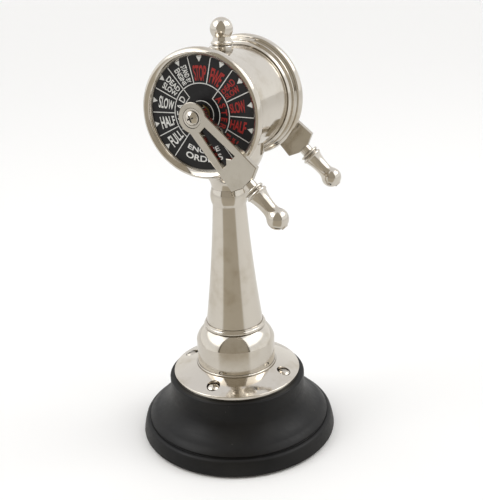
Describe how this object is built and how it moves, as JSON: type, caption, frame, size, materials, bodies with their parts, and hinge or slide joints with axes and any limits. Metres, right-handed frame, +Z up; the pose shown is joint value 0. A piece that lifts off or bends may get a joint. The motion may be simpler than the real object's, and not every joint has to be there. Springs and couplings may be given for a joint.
{
  "type": "ship engine telegraph",
  "caption": "Desk engine order telegraph: double-dial polished drum head on a turned pedestal and black round base, with a lever and turned grip on each side.",
  "frame": {"origin": "centre of the felt underside of the round base, on the surface that it stands on", "axes": "+Z up along the pedestal; -Y is the front, the way one of the two dials faces; +X is to the right of that dial, the side that both levers point to at rest"},
  "size_m": [0.1426, 0.1426, 0.2979],
  "materials": {
    "nickel": "warm polished nickel plate",
    "black_wood": "satin black lacquer over turned hardwood",
    "felt": "pressed dark green felt",
    "dial_black": "black lacquer with white and red markings",
    "steel": "plain machined steel",
    "brass": "plain turned brass"
  },
  "bodies": {
    "stand": {"felt_pad": "felt", "wooden_base": "black_wood", "base_plate": "nickel", "base_plate_screws": "nickel", "pedestal_foot": "nickel", "column_base_ring": "nickel", "pedestal_column": "nickel", "column_collar": "nickel", "head_neck": "nickel", "neck_screws": "steel", "tie_rod": "steel", "tie_rod_nut": "steel", "tie_rod_washer": "steel", "drum_shell": "nickel", "front_bezel": "nickel", "rear_bezel": "nickel", "front_end_plate": "brass", "rear_end_plate": "brass", "front_dial": "dial_black", "rear_dial": "dial_black", "front_bush": "brass", "rear_bush": "brass", "finial": "nickel", "finial_saddle": "nickel", "gong_spacer": "brass", "gong": "brass", "gong_nut": "brass", "stop_pin": "steel", "hammer_bracket": "brass", "hammer_pivot_pin": "steel", "hammer_spring": "steel"},
    "levers": {"lever_shaft": "steel", "friction_washer": "brass", "front_spacer": "nickel", "rear_spacer": "nickel", "front_lever": "nickel", "rear_lever": "nickel", "front_grip": "nickel", "rear_grip": "nickel", "front_lever_washer": "nickel", "rear_lever_washer": "nickel", "front_lever_screw": "nickel", "rear_lever_screw": "nickel", "trip_wheel": "brass", "trip_wheel_set_screw": "steel", "stop_collar": "brass"},
    "hammer": {"hammer_arm": "brass", "hammer_head": "brass"}
  },
  "joints": [
    {"name": "lever_turn", "type": "hinge", "parent": "stand", "child": "levers", "pos_m": [0, 0, 0.24244], "axis": [0, -1, 0], "range_deg": [-7.5, 278.5]},
    {"name": "hammer_swing", "type": "hinge", "parent": "stand", "child": "hammer", "pos_m": [-0.021, 0, 0.24644], "axis": [0, -1, 0], "range_deg": [0, 14], "stiffness_Nm_per_rad": 0.02, "springref_deg": -5.73, "deforming": ["hammer_spring"]}
  ]
}
